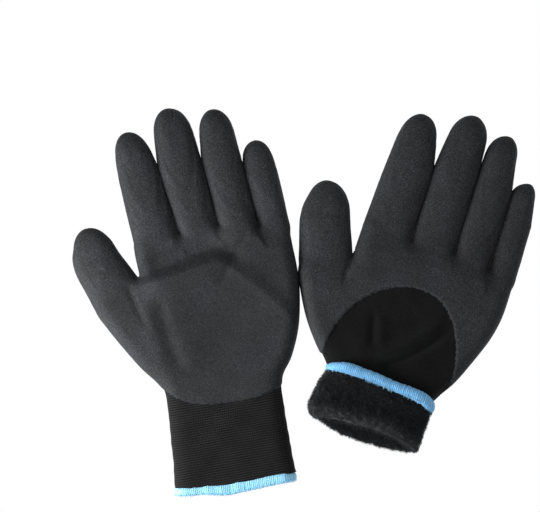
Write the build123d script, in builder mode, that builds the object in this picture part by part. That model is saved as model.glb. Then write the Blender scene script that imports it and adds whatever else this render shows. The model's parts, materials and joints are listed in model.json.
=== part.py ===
from build123d import *
import os
from math import cos, radians, sin

# A pair of thermal gloves for handling very cold things, lying side by side on a flat surface.
# Each glove is a fleece liner inside a knitted shell. The shell is dipped in foam nitrile: all of
# the palm and fingers, and the back down to the knuckles, which leaves a bare knit patch below.
# The left glove lies palm up with a straight cuff. The right glove lies back up, and its cuff is
# turned inside out over the wrist, so that the fleece shows.
#
# Units are millimetres, +Z is up, and both gloves rest on Z = 0. A glove is laid out in its own
# flat frame: u runs across the hand with the thumb at negative u, v runs from the wrist (v = 0)
# to the fingertips, and its heading turns it on the table. Every section is a flattened slot.
# Layers are insets from the outside of the glove, so that all the sections nest.

# ---- layers, as insets from the outer surface ---------------------------------------------------
COATING = (0.0, 1.0)  # foam nitrile dip over the hand
HAND_KNIT = (1.05, 1.85)  # knitted shell under the dip
STALL_WALL = (0.0, 1.85)  # knit and dip bonded as one wall over thumb and fingers
FLEECE = (1.95, 4.35)  # brushed liner
CUFF_KNIT = (0.0, 0.8)
CUFF_ELASTIC = (0.9, 1.5)  # elastic yarn laid inside the knitted wrist
CUFF_FLEECE = (1.6, 4.1)
FLAP_KNIT = (-2.0, -1.2)  # the same layers again on the turned-back flap, outside the wrist
FLAP_ELASTIC = (-2.7, -2.1)
FLAP_FLEECE = (-5.3, -2.8)
HEM_YARN = 0.9  # thickness of the overlock yarn that wraps the cuff's edge
GAP = 0.5  # free space round a bend, so that the two sides never meet
WRIST_GAP = 2.4  # more of it at the wrist, which bends at a slight lean to the hand
HALF_TURN = 180  # of a section's half makes a round end

# ---- each glove: where its wrist lies on the table, and which way it points ---------------------
PLACE = {"left": (-56.525, -54.78, 10.0), "right": (49.675, -56.48, -17.0)}  # x, y, heading in degrees
PALM_SIDE = {"left": 1, "right": -1}  # the palm faces up on the left glove, down on the right

# ---- fingers and thumbs, in the glove's flat frame ----------------------------------------------
# root (u, v) where the finger parts from the hand, the lean to the thumb side of its base and of
# its tip in degrees, its length, the distances from the root to the knuckle bend and to the middle
# bend, half widths at the root, the middle bend and the tip, and half the thickness
FINGERS = {
    "left": {
        "thumb": ((-58.7, 71.3), (22.0, 9.5), 48.5, 8.0, 24.0, (18.6, 15.6, 13.3), 9.2),
        "index": ((-26.2, 104.0), (6.0, 8.0), 73.0, 12.0, 42.0, (15.4, 13.4, 12.0), 8.8),
        "middle": ((3.1, 104.0), (7.0, 3.5), 84.0, 12.0, 45.0, (12.9, 13.9, 12.2), 8.8),
        "ring": ((29.0, 105.0), (4.5, 0.5), 77.0, 12.0, 43.0, (12.4, 12.4, 11.2), 8.6),
        "little": ((53.9, 101.0), (4.5, 3.5), 55.6, 10.0, 32.0, (10.3, 10.8, 10.0), 7.8),
    },
    "right": {
        "thumb": ((-59.5, 71.3), (19.0, 12.0), 52.0, 8.0, 25.0, (18.6, 15.8, 13.5), 9.2),
        "index": ((-24.5, 104.0), (-1.0, 1.0), 78.5, 12.0, 42.0, (16.0, 14.8, 12.4), 8.8),
        "middle": ((6.9, 104.0), (-1.0, -1.5), 87.5, 12.0, 46.0, (14.4, 14.2, 12.4), 8.8),
        "ring": ((34.5, 104.0), (0.0, 0.5), 81.0, 12.0, 43.0, (12.3, 12.2, 10.8), 8.6),
        "little": ((57.3, 97.0), (1.0, 0.0), 61.5, 10.0, 34.0, (9.6, 10.0, 8.8), 7.8),
    },
}
THUMB_EXTRA = 1.5  # further room at the thumb's tip bend, where its two halves lean differently

# ---- the hand: stations along v as (v, left edge, right edge, thickness) ------------------------
PALM_STATIONS = [
    (-20, -38.5, 38.5, 17.0),
    (-4, -38.0, 39.0, 17.0),
    (10, -43.5, 48.5, 18.5),
    (32, -59.0, 57.0, 21.0),
    (62, -74.5, 62.5, 22.0),
    (79, -81.0, 64.0, 21.0),
]
KNUCKLE_STATIONS = [(60, -42.2, 62.5, 21.6), (104, -42.4, 65.0, 19.6), (125, -42.4, 65.0, 18.0)]
INDEX_EDGE = -44.0  # just outside the index side of the hand, where the thumb's cut ends
FAR = 110.0  # beyond every edge of a glove
PATCH = (0.5, 16.0, 43.5, 54.0)  # bare knit on the back: centre u, centre v, half width, height
DIP_EDGE = -13.0  # v where the dip ends on the palm side of the left glove

# ---- wrists and cuffs ---------------------------------------------------------------------------
WRIST_BEND = {"left": (-0.6, -24.0), "right": (0.5, 12.0)}  # u, v of the wrist's bend
WRIST_LEAN = {"left": -2.7, "right": 0.0}
CUFF_HALF_THICKNESS = 8.5
LEFT_CUFF_LENGTH = 46.0  # from the wrist's bend to the end of the hem
LEFT_CUFF_HALF = (38.6, 41.0)  # half widths at the bend and at the hem
RIGHT_FOLD = 51.0  # from the wrist's bend to the bottom of the fold
RIGHT_NECK = 6.5  # from the bend to where the wrist has narrowed
RIGHT_CUFF_HALF = (43.0, 34.4, 33.8)  # half widths at the bend, the neck and the fold
RIGHT_FLAP_END = 6.8  # from the bend to the hem's top edge
HEM_LENGTH = 7.0
HEM_END = 1.0  # yarn past the end of the layers
ELASTIC_PITCH, ELASTIC_WIDTH = 5.5, 1.2
RIGHT_LIFT = CUFF_HALF_THICKNESS - FLAP_FLEECE[0] + HEM_YARN  # height of the right cuff's centre


def along(side, lean, forward=1):
    """Unit vector in the glove's flat frame that leans to the thumb side of the fingers' way."""
    turn = radians(PLACE[side][2] + lean)
    return Vector(-sin(turn), cos(turn), 0) * forward


def spot(side, u, v, z):
    """A point of a glove's flat frame as a point on the table."""
    x, y, heading = PLACE[side]
    turn = radians(heading)
    return Vector(x + u * cos(turn) - v * sin(turn), y + u * sin(turn) + v * cos(turn), z)


def across(side, point, lean, forward=1):
    """Plane square to the way forward at a point, with its X across the hand and its Y up."""
    way = along(side, lean, forward)
    return Plane(origin=point, x_dir=way.cross(Vector(0, 0, 1)), z_dir=-way)


def slot(plane, half_width, half_thickness):
    """A flattened slot on a plane: the section of every layer."""
    with BuildSketch(plane) as section:
        SlotOverall(2 * half_width, 2 * half_thickness)
    return section.sketch


def part_slot(plane, half_width, half_thickness, keep, align):
    """The stretch of a slot that a rectangle of the given size keeps."""
    with BuildSketch(plane) as section:
        SlotOverall(2 * half_width, 2 * half_thickness)
        Rectangle(*keep, align=align, mode=Mode.INTERSECT)
    return section.sketch


def sheet(plane):
    """A rectangle wider than any glove."""
    with BuildSketch(plane) as section:
        Rectangle(2 * FAR, 2 * FAR)
    return section.sketch


class Tube:
    """A run of slot sections in one direction: a finger's half, or a cuff."""

    def __init__(self, side, origin, lean, half_thickness, widths, forward=1):
        self.side, self.origin, self.lean, self.forward = side, origin, lean, forward
        self.way = along(side, lean, forward)
        self.half_thickness, self.widths = half_thickness, sorted(widths)

    def half_width(self, s):
        """Half width at distance s, in straight lines between the given ones."""
        if s <= self.widths[0][0]:
            return self.widths[0][1]
        for (s0, w0), (s1, w1) in zip(self.widths, self.widths[1:]):
            if s <= s1:
                return w0 + (w1 - w0) * (s - s0) / (s1 - s0)
        return self.widths[-1][1]

    def plane(self, s):
        return across(self.side, self.origin + self.way * s, self.lean, self.forward)

    def run(self, start, end, inset, mode=Mode.ADD):
        """Straight stretch between two distances, at one inset."""
        stops = [start] + [s for s, _ in self.widths if start < s < end] + [end]
        thickness = self.half_thickness - inset
        sections = [slot(self.plane(s), self.half_width(s) - inset, thickness) for s in stops]
        loft(sections, ruled=True, mode=mode)

    def bend_end(self, inset):
        """Round end about the bend's own axis, which turns in place."""
        width, thickness = self.half_width(0) - inset, self.half_thickness - inset
        upper = (2 * width, thickness), (Align.CENTER, Align.MIN)
        profile = part_slot(self.plane(0), width, thickness, *upper)
        axis = Axis(self.origin, self.plane(0).x_dir)
        revolve(profile, axis=axis, revolution_arc=HALF_TURN)

    def round_tip(self, s, inset, mode=Mode.ADD):
        """Half disc with a round rim: a fingertip."""
        width, thickness = self.half_width(s) - inset, self.half_thickness - inset
        right = (width, 2 * thickness), (Align.MIN, Align.CENTER)
        profile = part_slot(self.plane(s), width, thickness, *right)
        axis = Axis(self.origin + self.way * s, (0, 0, 1))
        revolve(profile, axis=axis, revolution_arc=HALF_TURN, mode=mode)

    def ring(self, s, length, insets, mode=Mode.ADD):
        """Band round the tube between two insets."""
        outer, inner = insets
        half_width, half_thickness = self.half_width(s), self.half_thickness
        with BuildSketch(self.plane(s)) as section:
            SlotOverall(2 * (half_width - outer), 2 * (half_thickness - outer))
            SlotOverall(2 * (half_width - inner), 2 * (half_thickness - inner), mode=Mode.SUBTRACT)
        extrude(section.sketch, amount=length, dir=self.way, mode=mode)

    def clear_beyond(self, s):
        """Cuts off everything past distance s."""
        extrude(sheet(self.plane(s)), amount=FAR, dir=self.way, mode=Mode.SUBTRACT)


def save(piece, name):
    piece.part.label = name
    export_step(piece.part, f"parts/{name}.step")


# ---- thumb and fingers --------------------------------------------------------------------------
def finger_tubes(side, finger):
    """The base and the tip of a finger as two tubes, each starting at its own bend."""
    (u, v), (lean, tip_lean), length, knuckle, middle, halves, thickness = FINGERS[side][finger]
    root = spot(side, u, v, thickness)
    way = along(side, lean)
    root_half, middle_half, tip_half = halves
    base_widths = [(-knuckle, root_half), (middle - knuckle, middle_half)]
    base = Tube(side, root + way * knuckle, lean, thickness, base_widths)
    disc_at = length - middle - tip_half
    tip_widths = [(0, middle_half), (disc_at, tip_half)]
    tip = Tube(side, root + way * middle, tip_lean, thickness, tip_widths)
    room = thickness + GAP + (THUMB_EXTRA if finger == "thumb" else 0)
    return base, middle - knuckle - room, tip, disc_at


def finger_layer(side, finger, name, insets):
    """One layer of a finger: an open tube for its base and a closed stall for its tip."""
    base, base_end, tip, disc_at = finger_tubes(side, finger)
    outer, inner = insets
    reach = base.half_thickness + GAP
    with BuildPart() as base_wall:
        base.run(0, base_end, outer)
        base.bend_end(outer)
        base.clear_beyond(base_end)
        base.run(-reach, base_end + GAP, inner, Mode.SUBTRACT)
    save(base_wall, f"{side}_{finger}_base_{name}")
    with BuildPart() as tip_wall:
        tip.run(0, disc_at, outer)
        tip.bend_end(outer)
        tip.round_tip(disc_at, outer)
        tip.run(-reach, disc_at, inner, Mode.SUBTRACT)
        tip.round_tip(disc_at, inner, Mode.SUBTRACT)
    save(tip_wall, f"{side}_{finger}_tip_{name}")


# ---- hand ---------------------------------------------------------------------------------------
def hand_middle(side, v, thickness):
    """Height of the hand's centre: on the table, or lifted to the right wrist's thick cuff."""
    if side == "left":
        return thickness / 2
    low, high = 17.0, 45.0  # v between which the right hand comes down to the table
    share = min(1.0, max(0.0, (high - v) / (high - low)))
    return thickness / 2 + share * (RIGHT_LIFT - thickness / 2)


def hand_loft(side, stations, inset, mode=Mode.ADD):
    sections = []
    for v, left, right, thickness in stations:
        middle = spot(side, (left + right) / 2, v, hand_middle(side, v, thickness))
        half_width, half_thickness = (right - left) / 2 - inset, thickness / 2 - inset
        sections.append(slot(across(side, middle, 0), half_width, half_thickness))
    loft(sections, ruled=True, mode=mode)


def finger_front(side, finger):
    """The two corners of the straight cut where the hand ends before a finger's bend."""
    base = finger_tubes(side, finger)[0]
    centre = base.origin - base.way * (base.half_thickness + GAP)
    reach = base.plane(0).x_dir * base.half_width(0)
    return sorted([centre - reach, centre + reach], key=lambda p: (p - spot(side, 0, 0, 0)).dot(
        along(side, -90)))


def hand_outline(side):
    """Corners of the flat region that the hand's layers fill, from the wrist round by the thumb."""
    wrist_u, wrist_v = WRIST_BEND[side]
    cut = wrist_v + CUFF_HALF_THICKNESS + WRIST_GAP
    thumb_left, thumb_right = finger_front(side, "thumb")
    slope = (thumb_right - thumb_left).normalized()
    past_thumb = thumb_left - slope * FAR / 2
    edge = spot(side, INDEX_EDGE, 0, 0)
    into_hand = (edge - thumb_right).dot(along(side, -90)) / slope.dot(along(side, -90))
    corners = [spot(side, -FAR, cut, 0), past_thumb, thumb_right + slope * into_hand]
    fronts = [p for f in ("index", "middle", "ring", "little") for p in finger_front(side, f)]
    fronts[0] = fronts[0] - along(side, -90) * 4  # clear of the index and little edges
    fronts[-1] = fronts[-1] + along(side, -90) * 8
    last = fronts[-1] - along(side, 0) * 60
    corners += fronts + [last + along(side, -90) * 20, spot(side, FAR, cut, 0)]
    return [(p.X, p.Y) for p in corners]


def hand_layer(side, insets):
    """One layer of the hand, open at the wrist, the thumb and the fingers."""
    outer, inner = insets
    hand_loft(side, PALM_STATIONS, outer)
    hand_loft(side, KNUCKLE_STATIONS, outer)
    hand_loft(side, PALM_STATIONS, inner, Mode.SUBTRACT)
    hand_loft(side, KNUCKLE_STATIONS, inner, Mode.SUBTRACT)
    with BuildSketch(Plane.XY.offset(-FAR / 2)) as region:
        Polygon(*hand_outline(side), align=None)
    extrude(region.sketch, amount=FAR, mode=Mode.INTERSECT)


def clear_patch(side):
    """Takes the dip off the bare patch on the back of the hand."""
    u, v, half_width, height = PATCH
    middle = hand_middle(side, v, PALM_STATIONS[2][3])
    back = Vector(0, 0, -PALM_SIDE[side])
    with BuildSketch(Plane(origin=spot(side, u, v, middle), x_dir=along(side, -90))) as region:
        Ellipse(half_width, height)
        Rectangle(2 * half_width, height, align=(Align.CENTER, Align.MAX))
    extrude(region.sketch, amount=FAR / 2, dir=back, mode=Mode.SUBTRACT)


def clear_wrist(side):
    """Ends the dip at its lower edge on the palm side."""
    edge = sheet(across(side, spot(side, 0, DIP_EDGE, 0), 0, -1))
    extrude(edge, amount=FAR, dir=along(side, 0, -1), mode=Mode.SUBTRACT)


# ---- cuffs --------------------------------------------------------------------------------------
def cuff_tube(side):
    u, v = WRIST_BEND[side]
    if side == "left":
        height = CUFF_HALF_THICKNESS + HEM_YARN
        widths = [(0, LEFT_CUFF_HALF[0]), (LEFT_CUFF_LENGTH, LEFT_CUFF_HALF[1])]
    else:
        height = RIGHT_LIFT
        widths = list(zip((0, RIGHT_NECK, RIGHT_FOLD), RIGHT_CUFF_HALF))
    origin = spot(side, u, v, height)
    return Tube(side, origin, WRIST_LEAN[side], CUFF_HALF_THICKNESS, widths, forward=-1)


def cuff_wall(cuff, start, end, insets):
    """The room that the wrapped layers take inside a hem."""
    with BuildPart() as wall:
        cuff.run(start - GAP, end, insets[0])
        cuff.run(start - 2 * GAP, end + GAP, insets[1], Mode.SUBTRACT)
    return wall.part


def straight_cuff(side):
    """Knit, fleece, elastic and hem of a cuff that hangs straight from the wrist."""
    cuff = cuff_tube(side)
    end = LEFT_CUFF_LENGTH - HEM_END
    reach = CUFF_HALF_THICKNESS + GAP
    for name, (outer, inner) in (("shell", CUFF_KNIT), ("liner", CUFF_FLEECE)):
        with BuildPart() as wall:
            cuff.run(0, end, outer)
            cuff.bend_end(outer)
            cuff.run(-reach, end + GAP, inner, Mode.SUBTRACT)
        save(wall, f"{side}_cuff_{name}")
    start = LEFT_CUFF_LENGTH - HEM_LENGTH
    with BuildPart() as hem:
        cuff.run(start, LEFT_CUFF_LENGTH, -HEM_YARN)
        cuff.run(start - GAP, LEFT_CUFF_LENGTH + GAP, CUFF_FLEECE[1] + HEM_YARN, Mode.SUBTRACT)
        wrapped = cuff_wall(cuff, start, end, (-0.05, CUFF_FLEECE[1] + 0.05))
        add(wrapped, mode=Mode.SUBTRACT)
    save(hem, f"{side}_cuff_hem")
    rings = range(2, int((end - HEM_LENGTH) / ELASTIC_PITCH))
    save_elastic(cuff, f"{side}_cuff_elastic", [(n * ELASTIC_PITCH, CUFF_ELASTIC) for n in rings])


def turned_cuff(side):
    """Knit, fleece, elastic and hem of a cuff turned inside out over the wrist."""
    cuff = cuff_tube(side)
    reach = CUFF_HALF_THICKNESS + GAP
    flap_start = RIGHT_FLAP_END + HEM_END
    fleece = FLAP_FLEECE[1] - FLAP_FLEECE[0]
    knit_fold = RIGHT_FOLD - fleece - 0.1  # bottom of the knit's own fold, inside the fleece's
    knit = CUFF_KNIT[1] - CUFF_KNIT[0]
    with BuildPart() as shell:
        cuff.run(flap_start, knit_fold, FLAP_KNIT[0])
        cuff.run(flap_start, knit_fold - knit, FLAP_KNIT[1], Mode.SUBTRACT)
        cuff.run(0, knit_fold, CUFF_KNIT[0])
        cuff.bend_end(CUFF_KNIT[0])
        cuff.run(-reach, knit_fold + GAP, CUFF_KNIT[1], Mode.SUBTRACT)
    save(shell, f"{side}_cuff_shell")
    with BuildPart() as liner:
        cuff.run(flap_start, RIGHT_FOLD, FLAP_FLEECE[0])
        cuff.run(flap_start, RIGHT_FOLD - fleece, FLAP_FLEECE[1], Mode.SUBTRACT)
        cuff.run(0, RIGHT_FOLD, CUFF_FLEECE[0])
        cuff.bend_end(CUFF_FLEECE[0])
        cuff.run(-reach, RIGHT_FOLD + GAP, CUFF_FLEECE[1], Mode.SUBTRACT)
    save(liner, f"{side}_cuff_liner")
    end = RIGHT_FLAP_END + HEM_LENGTH
    with BuildPart() as hem:
        cuff.run(RIGHT_FLAP_END, end, FLAP_FLEECE[0] - HEM_YARN)
        cuff.run(RIGHT_FLAP_END - GAP, end + GAP, FLAP_KNIT[1] + HEM_YARN, Mode.SUBTRACT)
        insets = (FLAP_FLEECE[0] - 0.05, FLAP_KNIT[1] + 0.05)
        add(cuff_wall(cuff, flap_start, end, insets), mode=Mode.SUBTRACT)
    save(hem, f"{side}_cuff_hem")
    spots = [(RIGHT_NECK + n * ELASTIC_PITCH, CUFF_ELASTIC) for n in range(1, 5)]
    spots += [(RIGHT_NECK + (n + 0.5) * ELASTIC_PITCH, FLAP_ELASTIC) for n in range(1, 5)]
    save_elastic(cuff, f"{side}_cuff_elastic", spots)


def save_elastic(cuff, name, spots):
    with BuildPart() as elastic:
        for s, insets in spots:
            cuff.ring(s, ELASTIC_WIDTH, insets)
    save(elastic, name)


def bends():
    """Every bend as (name, parent, child, point, axis): turning by + closes the hand."""
    found = []
    for side in PLACE:
        closing = PALM_SIDE[side]
        cuff = cuff_tube(side)
        axis = Vector(0, 0, 1).cross(cuff.way) * -closing
        found.append((f"{side}_wrist", f"{side}_hand", f"{side}_cuff", cuff.origin, axis))
        for finger in FINGERS[side]:
            base, _, tip, _ = finger_tubes(side, finger)
            names = [f"{side}_hand", f"{side}_{finger}_base", f"{side}_{finger}_tip"]
            for tube, bend, parent, child in ((base, "knuckle", *names[:2]), (tip, "middle", *names[1:])):
                axis = Vector(0, 0, 1).cross(tube.way) * -closing
                found.append((f"{side}_{finger}_{bend}", parent, child, tube.origin, axis))
    return found


def build():
    os.makedirs("parts", exist_ok=True)
    for side in PLACE:
        with BuildPart() as coating:
            hand_layer(side, COATING)
            clear_patch(side)
            clear_wrist(side)
        save(coating, f"{side}_hand_coating")
        with BuildPart() as shell:
            hand_layer(side, HAND_KNIT)
        save(shell, f"{side}_hand_shell")
        with BuildPart() as liner:
            hand_layer(side, FLEECE)
        save(liner, f"{side}_hand_liner")
        for finger in FINGERS[side]:
            finger_layer(side, finger, "shell", STALL_WALL)
            finger_layer(side, finger, "liner", FLEECE)
    straight_cuff("left")
    turned_cuff("right")


if __name__ == "__main__":
    build()
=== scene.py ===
import json
import math

import bpy
import numpy as np
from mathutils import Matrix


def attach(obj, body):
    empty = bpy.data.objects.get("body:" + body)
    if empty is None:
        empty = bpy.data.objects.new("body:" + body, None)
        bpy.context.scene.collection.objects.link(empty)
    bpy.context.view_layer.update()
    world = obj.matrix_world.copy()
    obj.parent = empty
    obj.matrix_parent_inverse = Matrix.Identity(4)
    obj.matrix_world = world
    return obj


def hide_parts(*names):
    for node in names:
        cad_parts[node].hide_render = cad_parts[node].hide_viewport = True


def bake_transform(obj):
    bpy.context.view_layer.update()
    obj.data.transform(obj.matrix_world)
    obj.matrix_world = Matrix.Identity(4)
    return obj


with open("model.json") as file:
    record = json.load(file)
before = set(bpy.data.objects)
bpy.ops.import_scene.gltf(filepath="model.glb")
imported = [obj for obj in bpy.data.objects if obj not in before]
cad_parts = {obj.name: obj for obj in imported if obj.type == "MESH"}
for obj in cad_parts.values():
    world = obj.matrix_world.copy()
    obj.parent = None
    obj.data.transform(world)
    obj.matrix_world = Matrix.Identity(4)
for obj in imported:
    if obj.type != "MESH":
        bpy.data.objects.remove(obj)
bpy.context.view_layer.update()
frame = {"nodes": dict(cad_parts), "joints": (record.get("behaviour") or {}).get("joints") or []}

import openvdb

# A pair of thermal gloves. Each glove is worked out in millimetres in its own flat frame: u runs
# across the hand with the thumb at negative u, v runs from the wrist to the fingertips, z is up.
# Where a glove lies, and where and how wide its fingers are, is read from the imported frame.
# The hand is meshed from a distance field, and the fingers are tubes that continue it.

MM = 0.001
SIDES = ("left", "right")
FINGERS = ("thumb", "index", "middle", "ring", "little")
PALM_UP = {"left": 1, "right": -1}  # which way the palm faces
WRIST = {"left": (-0.6, -24.0), "right": (0.5, 12.0)}  # u, v of the wrist's bend
WRIST_LEAN = {"left": -2.7, "right": 0.0}
ROOT_TO_KNUCKLE = {"thumb": 8.0, "index": 12.0, "middle": 12.0, "ring": 12.0, "little": 10.0}
# distances from a finger's root: where its tube leaves the hand, the stretch that bends at the
# knuckle, and half the stretch that bends at the middle
TUBE_START = {"thumb": 4.0, "index": 3.0, "middle": 3.0, "ring": 3.0, "little": 2.5}
KNUCKLE_STRETCH = dict.fromkeys(FINGERS, (3.5, 20.5)) | {"thumb": (4.5, 16.0), "little": (3.0, 17.5)}
MIDDLE_REACH = {"thumb": 8.0, "index": 10.0, "middle": 10.0, "ring": 10.0, "little": 9.0}
WRIST_STRETCH = {"left": (-16.0, -33.0), "right": (27.0, 9.0)}  # v where the wrist's bend starts, ends

# how much fuller each finger is than its CAD pieces, at its root, its middle joint and its tip:
# first on the thumb's side, then on the little finger's
FULLER = {
    "left": {
        "thumb": ((0.9, 0.9, 0.9), (0.2, 0.2, 0.6)),
        "index": ((0.9, 0.4, -0.9), (1.1, 1.3, 0.6)),
        "middle": ((1.1, 1.0, 0.0), (1.0, 1.2, 1.4)),
        "ring": ((1.0, 0.8, 0.0), (1.1, 1.1, 0.6)),
        "little": ((1.2, 1.3, 1.1), (-1.0, -0.6, -0.5)),
    },
    "right": {
        "thumb": ((0.8, 1.0, 0.6), (0.3, 1.4, 2.1)),
        "index": ((2.0, 0.9, 0.8), (1.2, 1.7, 0.4)),
        "middle": ((1.5, 1.7, 1.2), (1.0, 0.6, 0.3)),
        "ring": ((1.1, 1.0, 1.3), (1.1, 0.8, -1.4)),
        "little": ((1.0, 1.2, 1.8), (-0.4, -0.5, -2.1)),
    },
}

# the rest is in millimetres too
COAT = 0.9  # height of the dip over the knit
LINING = 3.4  # depth of the lining's inner face
TUBE_REACH = 40.0  # how far up from its root a finger's tube replaces the hand's mesh
SECTION_POWER = 2.3  # 2 is an ellipse, more is boxier
HAND_STEP = 0.8  # mesh pitch of the hand
LINING_STEP = 1.8
FLAP_STEP = 0.8
FEWEST_FACES = 30  # a part of the hand with fewer faces is left out
JOINTS = {joint["name"]: joint for joint in frame["joints"]}
rng = np.random.default_rng(11)


# ---- small helpers ----
def smoothstep(low, high, x):
    t = np.clip((x - low) / (high - low), 0.0, 1.0)
    return t * t * (3.0 - 2.0 * t)


def span(x, a, b, c, d):
    """1 from b to c, easing to 0 at a and d."""
    return smoothstep(a, b, x) * smoothstep(d, c, x)


def smooth_min(a, b, k):
    near = np.maximum(k - np.abs(a - b), 0.0) / k
    return np.minimum(a, b) - near * near * k / 4.0


def smooth_max(a, b, k):
    return -smooth_min(-a, -b, k)


def unit(v):
    return v / np.maximum(np.linalg.norm(v, axis=-1, keepdims=True), 1e-9)


def bump_line(d, width):
    """1 on a line, falling to nearly 0 at twice its width."""
    return np.exp(-((d / width) ** 2))


class Wobble:
    """Smooth random field over a plane, about -1 to 1, with features of a given size."""

    def __init__(self, pitch, seed, waves=7):
        turn = np.random.default_rng(seed)
        angle = turn.uniform(0, 2 * math.pi, waves)
        rate = 2 * math.pi / (pitch * turn.uniform(0.7, 1.6, waves))
        self.ku, self.kv = np.cos(angle) * rate, np.sin(angle) * rate
        self.phase = turn.uniform(0, 2 * math.pi, waves)

    def __call__(self, u, v):
        total = sum(np.sin(a * u + b * v + c) for a, b, c in zip(self.ku, self.kv, self.phase))
        return total / len(self.ku) * 1.6


jag, soft_wobble = Wobble(3.2, 5), Wobble(34.0, 6)


# ---- gloves in their flat frames ----
class Finger:
    """A finger's line and sections, read from its joints and its CAD pieces."""

    def __init__(self, glove, name):
        self.glove, self.name = glove, name
        knuckle = glove.to_flat(JOINTS[f"{glove.side}_{name}_knuckle"]["pos_m"])
        middle = glove.to_flat(JOINTS[f"{glove.side}_{name}_middle"]["pos_m"])
        self.middle = middle
        self.way = unit(middle - knuckle)
        self.across = np.array([self.way[1], -self.way[0], 0.0])
        self.tip_way = glove.way_of(f"{glove.side}_{name}_middle")
        tip_across = np.array([self.tip_way[1], -self.tip_way[0], 0.0])
        self.root = knuckle - self.way * ROOT_TO_KNUCKLE[name]
        self.bend = float(np.dot(middle - self.root, self.way))
        base = glove.cad_points(f"{name}_base_shell") - knuckle
        tip = glove.cad_points(f"{name}_tip_shell") - middle
        base_s, base_a = base @ self.way, np.abs(base @ self.across)
        tip_s, tip_a = tip @ self.tip_way, np.abs(tip @ tip_across)
        self.half_thickness = float(tip[:, 2].max())
        self.tip_length = float(tip_s.max())
        near_end = tip_s > 0.35 * self.tip_length
        groups = (base_a[base_s < 1], tip_a[tip_s < 1], tip_a[near_end])
        self.plain_halves = np.array([group.max() for group in groups])  # root, middle, tip
        self.length = self.bend + self.tip_length
        self.dome = 1.6 * self.plain_halves[2]  # where the tip starts to close, from its end
        self.back = -34.0 if name == "thumb" else -16.0  # how far it runs back into the hand

    def line(self, s):
        """Centre points at distances from the root, eased round the middle bend."""
        s = np.asarray(s, float)[..., None]
        straight = self.root + self.way * s
        leaning = self.middle + self.tip_way * (s - self.bend)
        share = smoothstep(self.bend - 12, self.bend + 12, s)
        return straight * (1 - share) + leaning * share

    def widths(self, s):
        """Half widths on the thumb's side and on the little finger's side."""
        stations = [0.0, self.bend, self.bend + 0.6 * self.tip_length]
        fuller = FULLER[self.glove.side][self.name]
        return [np.interp(s, stations, self.plain_halves + extra) for extra in fuller]

    def halves(self, s):
        """Half widths on both sides and half thickness, at distances from the root."""
        shoulder = self.length - self.dome
        thick = np.interp(s, [0.0, self.bend, shoulder], [1.0, 0.98, 0.9]) * self.half_thickness
        x = np.clip((s - shoulder) / self.dome, 0.0, 1.0)
        close_in = np.maximum(1 - x**2.2, 0.0) ** (1 / 1.95)
        one, other = self.widths(s)
        return one * close_in, other * close_in, thick * close_in**0.9

    def edge(self, p, far=None):
        """Where a point is across the finger's straight stretch: 0 on its line, 1 at its side."""
        d = p - self.root
        s, a = d @ self.way, d @ self.across
        one, other = self.widths(s)
        width = np.where(a < 0, one, other) * (1 - 0.24 * smoothstep(-5.0, self.back, s))
        edge = np.maximum(np.abs(a) / width, 1 + (self.back - s) / width)
        return edge if far is None else np.maximum(edge, 1 + (s - far) / width)


def rounded_outline(points, per_span=8):
    """A closed smooth outline through the given corners."""
    points = np.array(points, float)
    out = []
    for i in range(len(points)):
        p0, p1, p2, p3 = (points[(i + k) % len(points)] for k in (-1, 0, 1, 2))
        for t in np.linspace(0, 1, per_span, endpoint=False):
            a = 2 * p1 + (p2 - p0) * t + (2 * p0 - 5 * p1 + 4 * p2 - p3) * t**2
            out.append((a + (3 * p1 - p0 - 3 * p2 + p3) * t**3) / 2)
    return np.array(out)


def outline_distance(outline, u, v):
    """Signed distance to a closed outline, negative inside."""
    best, inside = np.full(u.shape, 1e9), np.zeros(u.shape, bool)
    for (au, av), (bu, bv) in zip(outline, np.roll(outline, -1, axis=0)):
        eu, ev = bu - au, bv - av
        t = np.clip(((u - au) * eu + (v - av) * ev) / (eu * eu + ev * ev + 1e-12), 0, 1)
        best = np.minimum(best, (u - au - t * eu) ** 2 + (v - av - t * ev) ** 2)
        crosses = (av > v) != (bv > v)
        with np.errstate(divide="ignore", invalid="ignore"):
            inside ^= crosses & (u < au + (v - av) * eu / (ev if ev else 1e-12))
    return np.where(inside, -1.0, 1.0) * np.sqrt(best)


# corners of each hand's outline in (u, v), from the cuff round by the thumb's root and the fingers
HAND_OUTLINE = {
    "left": [
        (-43.2, -90), (-43, -66), (-41, -44), (-39.6, -18), (-39.8, 2),  # cuff, thumb's side
        (-51.5, 19), (-60.6, 34), (-69, 49), (-74.6, 61), (-72.5, 69), (-64, 75),  # thumb's root
        (-52, 77.5), (-45, 79.3), (-42.2, 79.8), (-41.8, 82.5),  # crotch of the thumb
        (-42.2, 90), (-42.3, 97), (-41.5, 102), (-36, 107), (-26, 108), (-9, 103.5),
        (4, 105.5), (16.5, 105), (30, 104.5), (42.8, 99), (50, 105), (58, 107), (62.2, 101),
        (63, 82), (63.4, 66), (62.2, 50), (57.6, 28.3), (49.6, 9.5), (41.2, -3),
        (39.4, -18), (38.4, -44), (39, -66), (39.2, -90),  # cuff, little finger's side
    ],
    "right": [
        (-34, -60), (-34, -30), (-34.5, -6), (-40.2, 4),
        (-50, 15), (-60.6, 29), (-70, 46), (-75.4, 59), (-73, 67.5), (-65, 72.5),
        (-54, 75.5), (-46.5, 76.4), (-44.1, 76.2), (-43, 80.5),
        (-42.6, 90), (-42.3, 98), (-41.6, 103), (-36, 107), (-22, 107), (-8, 99.5),
        (6, 104), (20.9, 99.5), (34, 101), (48, 95), (54, 101), (61, 103), (65.2, 97),
        (65.6, 78), (64.6, 64), (61.4, 50), (55.6, 35), (47.4, 17), (39.2, 4),
        (35.4, -6), (34.2, -30), (34, -60),
    ],
}
CUFF_HALF = 8.3  # half thickness at the cuff
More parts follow.
